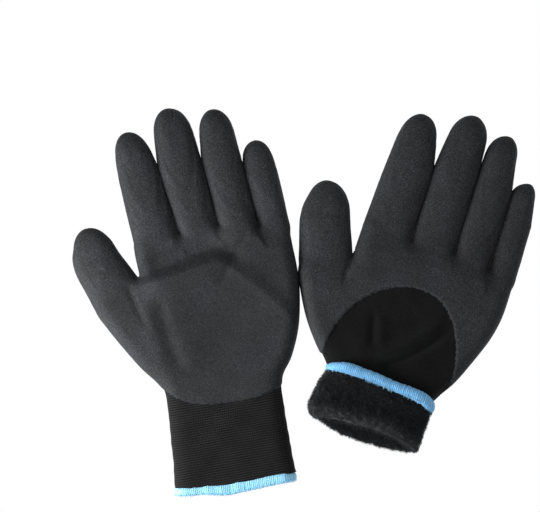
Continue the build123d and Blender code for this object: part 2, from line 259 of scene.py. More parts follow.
HAND_HALF_THICKNESS = {  # half thickness of the hand at each v
    "left": ([-70, -18, 10, 36, 66, 104], [CUFF_HALF, CUFF_HALF, 9.2, 10.6, 10.9, 8.9]),
    "right": ([-30, 4, 20, 40, 66, 104], [CUFF_HALF, CUFF_HALF, 9.4, 10.6, 10.9, 8.9]),
}
RIM = 10.0  # reach of the rounding at the hand's sides
MAP_LOW = -100.0  # where the map of the outline's distance starts; its pitch is 1 mm


class Glove:
    def __init__(self, side):
        self.side, self.up = side, PALM_UP[side]
        wrist = JOINTS[f"{side}_wrist"]
        up_hand = self.up * np.cross(wrist["axis"], (0, 0, 1))
        turn = math.atan2(-up_hand[0], up_hand[1]) - math.radians(WRIST_LEAN[side])
        self.cos, self.sin = math.cos(turn), math.sin(turn)
        self.wrist_height = wrist["pos_m"][2] / MM
        self.origin = np.zeros(2)
        self.origin = np.array(wrist["pos_m"][:2]) / MM - self.turned(np.array(WRIST[side]))
        self.fingers = {name: Finger(self, name) for name in FINGERS}
        self.outline = rounded_outline(HAND_OUTLINE[side])
        self.make_distance_map()

    def turned(self, p):
        return np.array([p[0] * self.cos - p[1] * self.sin, p[0] * self.sin + p[1] * self.cos])

    def to_flat(self, metres):
        """Table points in metres as flat-frame points in millimetres."""
        p = np.atleast_2d(np.array(metres, float)) / MM
        x, y = p[:, 0] - self.origin[0], p[:, 1] - self.origin[1]
        out = np.stack([x * self.cos + y * self.sin, y * self.cos - x * self.sin, p[:, 2]], axis=1)
        return out[0] if np.ndim(metres[0]) == 0 else out

    def to_table(self, p):
        """Flat-frame points in millimetres as table points in metres."""
        p = np.atleast_2d(p)
        x = p[:, 0] * self.cos - p[:, 1] * self.sin + self.origin[0]
        y = p[:, 0] * self.sin + p[:, 1] * self.cos + self.origin[1]
        return np.stack([x, y, p[:, 2]], axis=1) * MM

    def way_of(self, joint):
        """The way a segment points from its joint, in the flat frame."""
        x, y, _ = self.up * np.cross(JOINTS[joint]["axis"], (0, 0, 1)) * -1
        flat = np.array([x * self.cos + y * self.sin, y * self.cos - x * self.sin, 0.0])
        return flat if flat[1] > 0 else -flat

    def cad_points(self, node):
        mesh = frame["nodes"][f"{self.side}_{node}"].data
        co = np.empty(len(mesh.vertices) * 3)
        mesh.vertices.foreach_get("co", co)
        return self.to_flat(co.reshape(-1, 3))

    def make_distance_map(self):
        u, v = np.meshgrid(np.arange(MAP_LOW, 90, 1.0), np.arange(MAP_LOW, 130, 1.0), indexing="ij")
        self.map = outline_distance(self.outline, u, v)

    def outline_at(self, u, v):
        x = np.clip(u - MAP_LOW, 0, self.map.shape[0] - 1.001)
        y = np.clip(v - MAP_LOW, 0, self.map.shape[1] - 1.001)
        i, j = x.astype(int), y.astype(int)
        fx, fy, m = x - i, y - j, self.map
        low = m[i, j] * (1 - fx) + m[i + 1, j] * fx
        high = m[i, j + 1] * (1 - fx) + m[i + 1, j + 1] * fx
        return low * (1 - fy) + high * fy

    def half_thickness(self, v):
        return np.interp(v, *HAND_HALF_THICKNESS[self.side])

    def middle_height(self, v):
        """Height of the hand's middle: low on the table, higher at the thick turned-back cuff."""
        half = self.half_thickness(v)
        if self.side == "left":
            return half + np.interp(v, [-30, 0], [self.wrist_height - CUFF_HALF, 0.0])
        share = smoothstep(48.0, 14.0, v)
        return half + share * (self.wrist_height - half)

    def pillow(self, p, fingers, reach=None):
        """A soft form over the outline of the palm, joined with the first stretch of the fingers."""
        u, v, z = p[..., 0], p[..., 1], p[..., 2]
        half, centre = self.half_thickness(v), self.middle_height(v)
        rim = np.interp(v, [-10, 30], [12.0, RIM])
        edge = np.maximum(self.outline_at(u, v) + rim, 0.0) / rim
        for finger in fingers:
            start = TUBE_START[finger.name]
            own = finger.edge(p, None if reach is None else start + reach)
            blend = 0.04 + 0.4 * smoothstep(1.0, 0.7, np.minimum(edge, own))
            edge = np.maximum(smooth_min(edge, own, blend), 0.0)
            side = (1.7, 0.8) if finger.name == "thumb" else (1.25, 0.95)
            soft_back = -24.0 if finger.name == "thumb" else -21.0
            share = smoothstep(soft_back, start, (p - finger.root) @ finger.way)
            share = share * smoothstep(*side, own)
            half = half + share * (finger.half_thickness - half)
            centre = centre + share * (finger.root[2] - centre)
        lift = np.abs(z - centre) / half
        return ((edge**SECTION_POWER + lift**SECTION_POWER) ** (1 / SECTION_POWER) - 1) * half

    def hand_field(self, p):
        return self.pillow(p, self.fingers.values(), 16.0)

    # -- relief on top of the plain shape
    def palm_relief(self, u, v):
        """The raised lower palm with its ridge, the hollow above it, and the folds by the thumb."""
        left_run = 78.6 + 0.13 * (u + 7.4)
        right_run = 81.6 - 1.15 * (u - 15.5)
        ridge = smooth_min(left_run, right_run, 9.0)
        steep = 1 - 0.28 * smoothstep(6.0, 32.0, u)
        d = (v - ridge) * steep  # positive towards the fingers
        fade = span(u, -50.0, -36.0, 48.0, 64.0)
        centre = smoothstep(34.0, 4.0, u) * smoothstep(-48.0, -26.0, u)
        deep = np.interp(u, [-40.0, -8.0, 20.0, 42.0], [6.0, 10.0, 10.5, 9.0])  # the hollow's middle
        aside = smoothstep(16.0, 38.0, u)
        raised = (1.3 + 1.3 * centre + 0.5 * aside) * np.exp(np.minimum(d, 0) / (16.0 - 8.0 * aside))
        raised = raised * smoothstep(0.8 * deep + 6.0 * aside, -1.6 - 2.0 * aside, d)
        slope = np.where(d < deep, 0.66 * deep, 11.0)  # it rises slowly towards the fingers
        hollow = bump_line(d - deep, slope) * (0.5 + 5.2 * centre)
        relief = fade * (raised - hollow)
        fold = u + 31.0 + 0.10 * (v - 54.0) - 0.0035 * (v - 40.0) ** 2
        along_fold = span(v, 6.0, 22.0, 52.0, 70.0)
        relief -= 1.1 * bump_line(fold, 5.2) * along_fold
        relief += 0.6 * bump_line(fold + 10.0, 5.5) * along_fold
        second = u + 47.0 + 0.25 * (v - 62.0)
        relief -= 0.7 * bump_line(second, 2.6) * smoothstep(40, 54, v) * smoothstep(80, 68, v)
        pad = u - 31.0 - 0.75 * (v - 92.0)  # the soft edge of the little finger's pad
        along_pad = span(v, 62.0, 72.0, 90.0, 99.0)
        relief -= 0.9 * bump_line(pad, 3.4) * along_pad
        bowl = np.exp(-(((u - 8.0) / 27.0) ** 2 + ((v - 36.0) / 24.0) ** 2))
        return relief - 2.2 * bowl

    def crotch_relief(self, u, v):
        """Short wrinkles that run from between the fingers into the hand."""
        relief = np.zeros_like(u)
        names = ("index", "middle", "ring", "little")
        for first, second in zip(names, names[1:]):
            a, b = self.fingers[first], self.fingers[second]
            gap = a.root + a.across * a.plain_halves[0] + b.root - b.across * b.plain_halves[0]
            du, dv = u - gap[0] / 2, v - gap[1] / 2
            slant = du + 0.35 * dv
            relief -= 0.6 * bump_line(slant, 3.6) * smoothstep(-7.0, 1.0, dv)
            relief += 0.6 * bump_line(du + 5, 3.5) * bump_line(dv + 4, 5.0)
        return relief

    def back_relief(self, u, v):
        """The crease and the short fold in the bare knit on the back."""
        from_u, from_v, to_u, to_v = -2.2, 14.0, 32.0, 46.6
        du, dv = to_u - from_u, to_v - from_v
        length = math.hypot(du, dv)
        along = ((u - from_u) * du + (v - from_v) * dv) / length
        off = ((u - from_u) * dv - (v - from_v) * du) / length - 2.0 * np.sin(along / 13.0)
        part = span(along, -6.0, 5.0, length - 10.0, length + 8.0)
        relief = -3.2 * bump_line(off, 3.0) * part + 2.0 * bump_line(off + 7.0, 5.0) * part
        part = span(v, 22.0, 29.0, 40.0, 50.0)
        fold = u + 16.0 + 0.2 * (v - 34.0)
        relief += (0.9 * bump_line(fold - 6, 4.4) - 1.6 * bump_line(fold, 3.0)) * part
        part = span(v, 55.0, 66.0, 80.0, 88.0)
        return relief - 1.5 * bump_line(u + 43.8, 2.4) * part  # at the thumb's root

    def relief(self, p, normal):
        """How far the surface moves up or down, and only where it faces that way."""
        u, v = p[:, 0], p[:, 1]
        palm_side = smoothstep(0.25, 0.8, normal[:, 2] * self.up)
        back_side = smoothstep(0.25, 0.8, -normal[:, 2] * self.up)
        away = smoothstep(6.0, 14.0, v)
        crotches = self.crotch_relief(u, v)
        palm = (self.palm_relief(u, v) + crotches) * away
        back = crotches * 0.8
        if self.side == "right":
            back = back + self.back_relief(u, v)
        loose = 0.35 * soft_wobble(u, v)
        lift = self.up * (palm_side * (palm + loose) - back_side * (back + loose))
        return np.where(normal[:, 2] < 0, np.maximum(lift, -0.2), lift)  # it rests on the table

    # -- where the dip is
    def dip(self, p, normal):
        """Positive where the dip covers the knit: about the distance inside its edge."""
        u, v = p[:, 0], p[:, 1]
        lower = -13.4 + 13.5 * np.minimum(np.abs(u - 8.0) / 45.0, 1.1) ** 3
        if self.side == "right":
            lower = lower + 5.0  # its edge is under the turned-back cuff
        on_palm = v - lower
        lean = 0.5 + 6.0 * (np.clip(v - 12.0, 0, 58) / 58.0) ** 2
        wide, tall = (u - lean) / 44.0, np.clip(v - 12.0, 0, None) / 57.5
        on_back = (np.sqrt(wide**2 + tall**2) - 1) * 42.0
        facing = smoothstep(-0.45, 0.1, normal[:, 2] * self.up)
        edge = on_palm * facing + on_back * (1 - facing)
        return edge + 0.38 * jag(u, v) + 0.2 * jag(3.1 * v, 2.7 * u)


gloves = {side: Glove(side) for side in SIDES}


# ---- meshing ----
def grid_points(low, high, step):
    axes = [np.arange(a, b, step) for a, b in zip(low, high)]
    return np.stack(np.meshgrid(*axes, indexing="ij"), axis=-1)


def iso_mesh(field, low, high, step, level=0.0):
    """Quads on a field's surface, moved onto it exactly."""
    points = grid_points(low, high, step)
    values = np.empty(points.shape[:3], np.float32)
    for i in range(len(points)):
        values[i] = field(points[i])
    grid = openvdb.FloatGrid(3.0 * step)
    grid.copyFromArray(np.ascontiguousarray(values - level))
    co, quads = grid.convertToQuads(0.0)
    co = co.astype(float) * step + np.array(low)
    for _ in range(3):
        f, gradient = field(co) - level, field_gradient(field, co)
        size = np.maximum((gradient**2).sum(1), 0.05)
        co = co - gradient * (np.clip(f, -step, step) / size)[:, None]
    quads = quads.astype(int)
    outwards = np.einsum("ij,ij->i", face_normals(co, quads), field_gradient(field, co)[quads[:, 0]])
    if np.median(outwards) < 0:
        quads = quads[:, ::-1]
    return co, quads


def field_gradient(field, p, h=0.15):
    steps = np.eye(3) * h
    return np.stack([(field(p + d) - field(p - d)) / (2 * h) for d in steps], axis=1)


def face_normals(co, faces):
    a, b = co[faces[:, 2]] - co[faces[:, 0]], co[faces[:, 3]] - co[faces[:, 1]]
    return unit(np.cross(a, b))


def vertex_normals(co, faces):
    n, out = face_normals(co, faces), np.zeros_like(co)
    for k in range(faces.shape[1]):
        np.add.at(out, faces[:, k], n)
    return unit(out)


def make_piece(name, glove, co, faces, look, body, replaces=(), uv=None):
    """One smooth mesh object from the points that its faces use."""
    material, slot_name = look
    faces = np.asarray(faces)
    used, packed = np.unique(faces, return_inverse=True)
    packed = packed.reshape(faces.shape)
    mesh = bpy.data.meshes.new(name)
    tidy = [[int(i) for i in dict.fromkeys(row)] for row in packed.tolist()]
    mesh.from_pydata(glove.to_table(co[used]).tolist(), [], [row for row in tidy if len(row) > 2])
    mesh.shade_smooth()
    flat = np.empty(len(mesh.loops), int)
    mesh.loops.foreach_get("vertex_index", flat)
    at = (co[used][:, :2] if uv is None else uv[used])[flat] / 10.0
    mesh.uv_layers.new(name="weave").data.foreach_set("uv", at.ravel())
    mesh.materials.append(material)
    piece = bpy.data.objects.new(name, mesh)
    bpy.context.scene.collection.objects.link(piece)
    if body:
        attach(piece, body)
    if replaces:
        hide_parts(*replaces)
    return piece


def bend_piece(glove, piece, first, second, start, end):
    a, b = (tuple(float(c) for c in glove.to_table(point)[0]) for point in (start, end))
    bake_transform(piece)


def drop_fingers(glove, centres, keep):
    """Takes out the faces that a finger's tube stands for: those nearest to that finger."""
    fingers = list(glove.fingers.values())
    edges = np.array([finger.edge(centres) for finger in fingers])
    nearest = edges.min(axis=0)
    for finger, own in zip(fingers, edges):
        s = (centres - finger.root) @ finger.way
        in_tube = (s > TUBE_START[finger.name]) & (s < TUBE_REACH) & (own < 1.1)
        keep &= ~(in_tube & (own <= nearest))
    return keep


# ---- materials ----
class Shader:
    """A principled material with a few helpers for its nodes."""

    def __init__(self, name, color, roughness, specular, sheen=0.0):
        self.material = bpy.data.materials.new(name)
        self.material.use_nodes = True
        self.tree = self.material.node_tree
        self.main = self.tree.nodes["Principled BSDF"]
        values = {"Base Color": (*color, 1), "Roughness": roughness, "Specular IOR Level": specular}
        if sheen:
            values["Sheen Weight"] = sheen
            values["Sheen Roughness"] = 0.5
            values["Sheen Tint"] = (0.75, 0.8, 0.85, 1)
        for socket, value in values.items():
            self.main.inputs[socket].default_value = value
        self.place = self.node("ShaderNodeTexCoord").outputs["Object"]

    def node(self, kind, **inputs):
        node = self.tree.nodes.new(kind)
        for name, value in inputs.items():
            self.feed(node.inputs[name.replace("_", " ")], value)
        return node

    def feed(self, socket, value):
        if isinstance(value, bpy.types.NodeSocket):
            self.tree.links.new(value, socket)
        else:
            socket.default_value = value

    def noise(self, size_mm, detail=2.0, place=None, rough=0.6):
        """Noise with features of about a given size."""
        vector = self.place if place is None else place
        scale = 1000.0 / size_mm
        node = self.node("ShaderNodeTexNoise", Vector=vector, Scale=scale, Detail=detail, Roughness=rough)
        return node.outputs["Fac"]

    def math(self, operation, a, b=0.0):
        node = self.tree.nodes.new("ShaderNodeMath")
        node.operation = operation
        self.feed(node.inputs[0], a)
        self.feed(node.inputs[1], b)
        return node.outputs[0]

    def ramp(self, value, stops):
        node = self.node("ShaderNodeValToRGB", Fac=value)
        elements = node.color_ramp.elements
        while len(elements) < len(stops):
            elements.new(0.5)
        for element, (at, color) in zip(elements, stops):
            element.position, element.color = at, (*color, 1)
        return node.outputs["Color"]

    def mix(self, share, a, b, blend="MIX"):
        node = self.tree.nodes.new("ShaderNodeMix")
        node.data_type = "RGBA"
        node.blend_type = blend
        self.feed(node.inputs["Factor"], share)
        for socket, color in ((node.inputs["A"], a), (node.inputs["B"], b)):
            self.feed(socket, color if isinstance(color, bpy.types.NodeSocket) else (*color, 1))
        return node.outputs["Result"]

    def multiply(self, a, b, share=1.0):
        return self.mix(share, a, b, "MULTIPLY")

    def stripes(self, along, pitch_mm):
        """A wave from 0 to 1 along the cloth."""
        wave = self.math("SINE", self.math("MULTIPLY", along, 20 * math.pi / pitch_mm))
        half = self.math("MULTIPLY_ADD", wave, 0.5)
        half.node.inputs[2].default_value = 0.5
        return half

    def color(self, socket):
        self.tree.links.new(socket, self.main.inputs["Base Color"])

    def bump(self, height, depth_mm, strength=1.0):
        """Bump of a height from 0 to 1 over a depth, on top of any bump before it."""
        node = self.node("ShaderNodeBump", Height=height, Strength=strength, Distance=depth_mm * MM)
        normal = self.main.inputs["Normal"]
        if normal.is_linked:
            self.tree.links.new(normal.links[0].from_socket, node.inputs["Normal"])
        self.tree.links.new(node.outputs["Normal"], normal)

    def weave(self):
        """Across and along coordinates of the cloth, in centimetres."""
        node = self.tree.nodes.new("ShaderNodeUVMap")
        node.uv_map = "weave"
        split = self.node("ShaderNodeSeparateXYZ", Vector=node.outputs["UV"])
        return split.outputs["X"], split.outputs["Y"]


def gray(level, tint=(1.0, 1.0, 1.0)):
    return tuple(level * t for t in tint)


def foam_nitrile(name, painted_palm_shade=1.0):
    """Sandy foam dip: dark charcoal with a fine grain, a faint cloudy tone, and, if asked, painted shade
    darkening the palm's middle.
    """
    s = Shader(name, gray(0.03), 0.72, 0.26)
    cloud = s.noise(26, 3)
    grain = s.noise(0.85, 3, rough=0.75)
    dim, bright = gray(0.0195, (0.98, 1.0, 1.09)), gray(0.0255, (0.93, 1.0, 1.18))
    tone = s.ramp(cloud, [(0.35, dim), (0.65, bright)])
    speck = s.ramp(grain, [(0.36, gray(0.2)), (0.5, gray(0.9)), (0.68, gray(2.9))])
    # painted shade: the coat is darker towards the middle of the palm
    if painted_palm_shade < 1.0:
        across, along = (s.math("SUBTRACT", a, mm / 10) for a, mm in zip(s.weave(), PAINTED_SHADE_MIDDLE))
        squares = s.math("ADD", s.math("MULTIPLY", across, across), s.math("MULTIPLY", along, along))
        off = s.math("DIVIDE", s.math("SQRT", squares), PAINTED_SHADE_REACH / 10)
        tone = s.multiply(tone, s.ramp(off, [(0.2, gray(painted_palm_shade)), (1.0, gray(1.0))]))
    s.color(s.multiply(tone, speck, 0.75))
    s.bump(grain, 0.22)
    s.bump(s.noise(2.6, 2), 0.22, 0.6)
    return s.material


def black_knit(name, level, course_mm=1.15, wale_mm=1.35, wale_share=0.5):
    """Plain knit: courses of small V stitches, crossed by wales that shade them by a share."""
    s = Shader(name, gray(level), 0.85, 0.12, sheen=0.05)
    across, along = s.weave()
    wobble = s.math("MULTIPLY", s.noise(16, 2), 0.12)
    along = s.math("ADD", along, wobble)
    zigzag = s.math("PINGPONG", across, wale_mm / 20.0)
    zigzag = s.math("MULTIPLY", zigzag, 0.35)
    courses = s.stripes(s.math("ADD", along, zigzag), course_mm)
    wales = s.math("MULTIPLY", s.stripes(across, wale_mm), wale_share)
    wales = s.math("ADD", 1.0 - wale_share, wales)
    stitch = s.math("MULTIPLY", s.math("POWER", courses, 0.8), wales)
    tone = s.mix(stitch, gray(level * 0.12), gray(level * 2.3, (1.0, 0.99, 0.98)))
    cloudy = s.mix(s.noise(9, 3), gray(0.65), gray(1.25))
    s.color(s.multiply(tone, cloudy))
    s.bump(stitch, 0.5)
    return s.material


def fleece(name, level, rim=1.0):
    """Soft pile in small clumps. Where the weave's Y is 1 it is lighter, rim times: a painted highlight.
    """
    s = Shader(name, gray(level), 0.95, 0.05, sheen=0.22)
    clumps = s.noise(3.6, 4, rough=0.7)

    def pile(tone):
        middle, tips = gray(tone * 1.3, (0.92, 1.0, 1.1)), gray(tone * 4.6, (0.9, 1.0, 1.12))
        return s.ramp(clumps, [(0.35, gray(tone * 0.4)), (0.58, middle), (0.76, tips)])

    if rim == 1.0:
        s.color(pile(level))
    else:
        s.color(s.mix(s.weave()[1], pile(level), pile(level * rim)))
    s.bump(clumps, 1.4)
    s.bump(s.noise(0.7, 2), 0.35)
    return s.material


def overlock_thread(name, color, shade_depth=1.0):
    """Light blue yarn: wraps side by side, with some shade between them and a fine twist."""
    s = Shader(name, color, 0.62, 0.3, sheen=0.25)
    twist = s.noise(1.1, 4)
    wraps, _ = s.weave()
    shade = s.math("ABSOLUTE", s.math("SINE", s.math("MULTIPLY", wraps, 10 * math.pi)))
    twist_shade = s.math("ADD", 1.0 - 0.7 * shade_depth, s.math("MULTIPLY", twist, 1.2 * shade_depth))
    shade = s.math("MULTIPLY", s.math("POWER", shade, 0.6), twist_shade)
    deep = tuple(c * (1 - shade_depth * f) for c, f in zip(color, (0.4, 0.3, 0.2)))
    light = tuple(min(1.0, c * 1.25 + 0.06) for c in color)
    tone = s.mix(s.ramp(shade, [(0.25, gray(0.0)), (0.95, gray(1.0))]), deep, light)
    s.color(s.mix(s.ramp(s.noise(9, 2), [(0.42, gray(0.0)), (0.7, gray(0.5))]), tone, color))
    s.bump(twist, 0.5 * shade_depth)
    return s.material


PAINTED_SHADE_MIDDLE = (17.0, 36.0)  # where the painted shade on the left palm is darkest, in its weave, in mm
PAINTED_SHADE_REACH = 64.0  # how far from there the painted shade ends
# each look is a material and its slot's name
COAT_LOOK = foam_nitrile("sandy_foam_nitrile"), "foam_nitrile"
# the left palm's coat, with painted shade in its middle
PAINTED_SHADE_COAT_LOOK = foam_nitrile("sandy_foam_nitrile_painted_shade", 0.7), "foam_nitrile"
CUFF_KNIT_LOOK = black_knit("black_cuff_knit", 0.0105, 1.6, 1.5, 0.3), "knit"
HAND_KNIT_LOOK = black_knit("black_hand_knit", 0.006, 1.0, 1.2), "knit"
FLEECE_LOOK = fleece("brushed_fleece", 0.009), "fleece"
# the flap's fleece and its pile carry a painted highlight along the front of the fold, 4.6 and 4.8 times
# brighter
FLAP_LOOK = fleece("turned_back_fleece", 0.0055, 4.6), "fleece"
PILE_LOOK = fleece("fleece_pile", 0.0058, 4.8), "fleece"
THREAD_LOOK = overlock_thread("light_blue_yarn", (0.15, 0.43, 0.72)), "overlock_yarn"
PALE_THREAD_LOOK = overlock_thread("pale_blue_yarn", (0.24, 0.56, 0.85), 0.5), "overlock_yarn"


# ---- fingers ----
def finger_rings(finger, pitch, around, start):
    """Points of a closed tube: rings along the finger and one last point at its tip."""
    glove = finger.glove
    end = finger.length
    straight = np.arange(start, end - finger.dome * 0.5, pitch)
    count = max(6, int(finger.dome / pitch))
    closing = end - finger.dome * 0.5 * (1 - np.sin(np.linspace(0, 1, count + 1)[1:-1] * math.pi / 2))
    s = np.concatenate([straight, closing])
    phi = np.linspace(0, 2 * math.pi, around, endpoint=False)
    centre = finger.line(s)
    way = unit(finger.line(s + 0.5) - centre)
    across = np.stack([way[:, 1], -way[:, 0], np.zeros(len(s))], axis=1)
    one, other, thick = (np.maximum(size, 0.05)[:, None] for size in finger.halves(s))
    c, d = np.cos(phi), np.sin(phi)
    size = (np.abs(c) ** SECTION_POWER + np.abs(d) ** SECTION_POWER) ** (-1 / SECTION_POWER)
    a = np.where(c < 0, one, other) * (c * size)[None, :]
    h = thick * (d * size)[None, :]
    points = centre[:, None, :] + across[:, None, :] * a[..., None]
    points[..., 2] += h
    near = s < finger.bend * 0.55  # where the palm still shapes the finger
    origin = centre[near][:, None, :]
    ray = points[near] - origin
    reach = np.linalg.norm(ray, axis=2)
    ray = ray / reach[..., None]
    r = reach.copy()
    for _ in range(8):
        f = glove.pillow(origin + ray * r[..., None], [finger])
        ahead = glove.pillow(origin + ray * (r + 0.2)[..., None], [finger])
        slope = np.maximum((ahead - f) / 0.2, 0.25)
        r = np.clip(r - f / slope, 0.6 * reach, reach + 1.5)
    share = smoothstep(0.55, 0.3, s[near] / finger.bend)[:, None]
    points[near] = origin + ray * (r * share + reach * (1 - share))[..., None]
    return s, points, finger.line(np.array([end]))[0]


def tube_faces(rings, around, first, tip_index=None, closed=False):
    """Quads between rings of points, with a fan to a tip or a stretch back to the first ring."""
    i, j = np.meshgrid(np.arange(rings if closed else rings - 1), np.arange(around), indexing="ij")
    k, row, next_row = (j + 1) % around, i * around, (i + 1) % rings * around
    quads = np.stack([row + j, row + k, next_row + k, next_row + j], axis=-1)
    quads = quads.reshape(-1, 4) + first
    if tip_index is not None:
        last = (rings - 1) * around + first
        a = np.arange(around)
        cap = np.stack([last + a, last + (a + 1) % around, np.full(around, tip_index)], axis=1)
        quads = np.concatenate([quads, np.column_stack([cap, cap[:, 2]])])
    return quads


def build_finger(glove, finger):
    side, name = glove.side, finger.name
    hand, base, tip = f"{side}_hand", f"{side}_{name}_base", f"{side}_{name}_tip"
    low, high = KNUCKLE_STRETCH[name]
    reach = MIDDLE_REACH[name]
    split = (high + finger.bend - reach) / 2  # where the base's mesh ends and the tip's starts
    for kind, sunk, pitch, around, look, node in (
        ("sleeve", 0.0, 0.8, 88, COAT_LOOK, "shell"),
        ("lining", LINING, 2.0, 36, FLEECE_LOOK, "liner"),
    ):
        s, points, end = finger_rings(finger, pitch, around, TUBE_START[name] - (2.0 if sunk else 0.9))
        co = finger_relief(glove, finger, s, points, sunk)
        co = np.vstack([co, end - sunk * finger.tip_way])
        cut = int(np.searchsorted(s, split))
        base_faces = tube_faces(cut + 1, around, 0)
        tip_faces = tube_faces(len(s) - cut, around, cut * around, len(co) - 1)
        if sunk:
            base_faces, tip_faces = base_faces[:, ::-1], tip_faces[:, ::-1]
        points = finger.line(np.array([low, high, finger.bend - reach, finger.bend + reach]))
        halves = ((hand, base, base_faces, points[:2]), (base, tip, tip_faces, points[2:]))
        for parent, body, faces, ends in halves:
            piece = make_piece(f"{body}_{kind}", glove, co, faces, look, None, [f"{body}_{node}"])
            bend_piece(glove, piece, parent, body, *ends)


def finger_relief(glove, finger, s, points, sunk):
    """The hand's relief carried on up the finger, and the dip's own unevenness."""
    flat = points.reshape(-1, 3)
    around = points.shape[1]
    normal = vertex_normals(flat, tube_faces(len(s), around, 0))
    outward = flat - np.repeat(finger.line(s), around, axis=0)
    if np.median(np.einsum("ij,ij->i", normal, outward)) < 0:
        normal = -normal
    fade = np.repeat(smoothstep(22.0, 4.0, s), around)
    lift = glove.relief(flat, normal) * fade
    if sunk:  # the lining narrows towards the tip's end, where the tube closes
        room = np.linalg.norm(outward, axis=1)
        flat = flat - outward / room[:, None] * np.minimum(sunk, 0.75 * room)[:, None]
        towards_tip = np.repeat(smoothstep(finger.bend, s[-1], s), around)[:, None]
        flat[:, :2] -= finger.tip_way[:2] * sunk * towards_tip
    else:
        seed = 20 + FINGERS.index(finger.name)
        uneven = Wobble(17.0, seed)(flat[:, 0], flat[:, 1] + 9 * flat[:, 2])
        grown = 0.25 * uneven * np.repeat(smoothstep(s[0] + 1, s[0] + 9, s), around)
        grown -= 0.25 * np.repeat(smoothstep(TUBE_START[finger.name] + 0.1, s[0], s), around)
        flat = flat + normal * grown[:, None]
    flat[:, 2] += lift
    return flat


# ---- hands and cuffs ----
CUFF_END = {"left": -67.5, "right": -26.0}  # v where the knit ends, inside the hem or the flap


def build_hand(glove):
    """The skin and the lining. At the wrist each is cut: one part rides the hand, the other is left
    unattached.
    """
    side = glove.side
    hand, cuff = f"{side}_hand", f"{side}_cuff"
    end = CUFF_END[side]
    low, high = (-92.0, end - 9.0, -1.5), (73.0, 126.0, 26.0)
    start_v, stop_v = WRIST_STRETCH[side]
    bend = [(WRIST[side][0], v, glove.wrist_height) for v in (start_v, stop_v)]

    def make_parts(co, faces, parts, uv=None):
        for name, chosen, look, nodes in parts:
            if chosen.sum() < FEWEST_FACES:
                continue
            rides = hand if name.startswith(hand) else None
            piece = make_piece(name, glove, co, faces[chosen], look, rides, nodes, uv)
            if not rides:
                bend_piece(glove, piece, hand, cuff, *bend)

    co, faces = iso_mesh(glove.hand_field, low, high, HAND_STEP)
    normal = vertex_normals(co, faces)
    edge = glove.dip(co, normal)
    lift = glove.relief(co, normal)
    cloth = cuff_ripples(glove, co) * smoothstep(0.3, -0.3, edge)
    sunk = COAT * smoothstep(0.9, -0.1, edge) * smoothstep(-24.0, -12.0, co[:, 1])
    co = co + normal * (cloth - sunk)[:, None]
    co[:, 2] += lift
    centres = co[faces].mean(axis=1)
    keep = drop_fingers(glove, centres, centres[:, 1] > end)
    dipped = edge[faces].mean(axis=1) > 0
    wrist = centres[:, 1] < start_v
    around = co[:, 0] + np.sign(normal[:, 2]) * (co[:, 2] - glove.middle_height(co[:, 1]))
    uv = np.stack([around, co[:, 1]], axis=1)
    left = side == "left"  # palm up, with its cuff's knit in sight
    # the left palm's coat carries painted shade in its middle
    coat, knit = (PAINTED_SHADE_COAT_LOOK, CUFF_KNIT_LOOK) if left else (COAT_LOOK, HAND_KNIT_LOOK)
    make_parts(co, faces, [
        (f"{hand}_dip", keep & dipped & ~wrist, coat, [f"{hand}_coating"]),
        (f"{hand}_knit", keep & ~dipped & ~wrist, knit, [f"{hand}_shell"]),
        (f"{cuff}_dip", keep & dipped & wrist, coat, []),
        (f"{cuff}_knit", keep & ~dipped & wrist, knit, [f"{cuff}_shell"]),
    ], uv)

    co, faces = iso_mesh(glove.hand_field, low, high, LINING_STEP)
    normal = vertex_normals(co, faces)
    lift = glove.relief(co, normal)
    co = co - normal * LINING
    co[:, 2] += lift
    centres = co[faces].mean(axis=1)
    keep = drop_fingers(glove, centres, centres[:, 1] > end + (0 if left else 6))
    wrist = centres[:, 1] < start_v
    make_parts(co, faces[:, ::-1], [
        (f"{hand}_lining", keep & ~wrist, FLEECE_LOOK, [f"{hand}_liner"]),
        (f"{cuff}_lining", keep & wrist, FLEECE_LOOK, [f"{cuff}_liner"] if left else []),
    ])


def cuff_ripples(glove, co):
    """Soft unevenness of the bare knit."""
    u, v = co[:, 0], co[:, 1]
    if glove.side == "left":
        pull = 0.09 * np.sin(2 * math.pi * v / 9.0 + 0.5 * np.sin(u / 11.0)) * smoothstep(-12, -24, v)
        return pull + 0.45 * soft_wobble(u * 1.3, v * 1.3)
    return 0.4 * soft_wobble(u * 1.6, v * 1.6)


# the right cuff, turned back: a doubled tube of fleece with a slanted mouth
FLAP_STATIONS = [-42.0, -35.0, -24.0, -10.0, -1.4, 6.0]  # v
FLAP_MIDDLE = [-2.4, -2.7, -2.7, -1.4, -0.2, 0.2]  # u at each of them
FLAP_HALF_WIDTH = [38.0, 38.9, 39.6, 38.8, 37.4, 36.4]
FLAP_HALF_THICK = 13.7
FLAP_CAVITY = (30.0, 5.6)  # half width and half thickness
FLAP_FOLD = -40.4  # v of the fold's lowest point
MOUTH_RISE = 12.0  # how much shorter the upper layer is, in the middle
MOUTH_HALF_WIDTH = 36.0
PILE_COUNT, PILE_COUNT_QUICK = 46000, 9000  # fibres
PILE_HALF_WIDTH = 0.09


def hem_line(u):
    """v of the middle of the right hem, which arches over the back of the wrist."""
    arc = 4.6 - 5.0 * ((u + 2.0) / 40.0) ** 2 - 0.035 * u - 2.4 * smoothstep(28.0, 39.0, u)
    return arc + 1.6 * bump_line(u + 27.0, 10.0) - 1.3 * bump_line(u - 7.0, 12.0)


def tube_distance(u, lift, half_width, half_thick, power):
    """About the distance to the side of a flattened tube, negative inside."""
    a, b = np.abs(u) / half_width, np.abs(lift) / half_thick
    size = np.maximum((a**power + b**power) ** (1 / power), 1e-3)
    slope = np.hypot((a / size) ** (power - 1) / half_width, (b / size) ** (power - 1) / half_thick)
    return (size - 1) / slope


def fold_line(u):
    """v of the fold that the turned-back cuff ends in."""
    return FLAP_FOLD + 6.3 * ((u - 4.0) / 38.0) ** 2 - 1.2 * bump_line(u + 14.0, 16.0)


